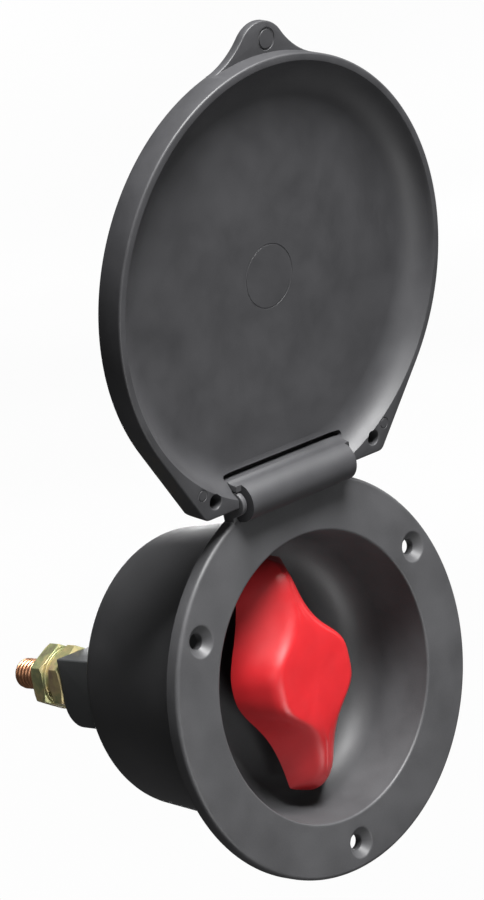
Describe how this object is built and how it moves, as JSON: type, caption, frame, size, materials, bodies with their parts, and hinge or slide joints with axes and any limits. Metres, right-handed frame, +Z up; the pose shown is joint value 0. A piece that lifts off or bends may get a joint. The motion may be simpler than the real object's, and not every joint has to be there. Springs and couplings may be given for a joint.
{
  "type": "battery isolator switch",
  "caption": "Battery isolator switch in a round recess cup with a mounting flange, a hinged weather lid, a flared turning knob and threaded terminal studs behind.",
  "frame": {"origin": "centre of the mounting flange's back face, where it meets the panel", "axes": "+X to the right seen from the front, +Y into the panel along the switch's axis, +Z up towards the lid's hinge"},
  "size_m": [0.122, 0.1378, 0.2366],
  "materials": {
    "charcoal_plastic": "fine matte grain",
    "red_plastic": "satin",
    "grey_plastic": "matte",
    "steel": "satin",
    "brass": "machined",
    "copper": "machined copper",
    "yellow_zinc": "yellow zinc plating",
    "seal_rubber": "matte"
  },
  "bodies": {
    "base": {"housing": "charcoal_plastic", "hinge_pin": "steel", "spindle_bush": "brass", "spindle_seal": "seal_rubber", "switch_cover": "grey_plastic", "switch_base": "grey_plastic", "case_screws": "steel", "switch_screws": "steel", "stud_left": "copper", "stud_right": "copper", "inner_nuts": "yellow_zinc", "lock_washers": "yellow_zinc", "flat_washers": "yellow_zinc", "outer_nuts": "yellow_zinc"},
    "lid": {"lid": "charcoal_plastic"},
    "knob": {"knob": "red_plastic", "spindle": "steel", "retaining_clip": "steel", "rotor": "grey_plastic", "contact_bridge": "copper", "contact_spring": "steel"}
  },
  "joints": [
    {"name": "lid_hinge", "type": "hinge", "parent": "base", "child": "lid", "pos_m": [0, -0.0059, 0.0563], "axis": [1, 0, 0], "range_deg": [0, 168]},
    {"name": "knob_turn", "type": "hinge", "parent": "base", "child": "knob", "pos_m": [0, 0, 0], "axis": [0, 1, 0], "range_deg": [0, 90]}
  ]
}
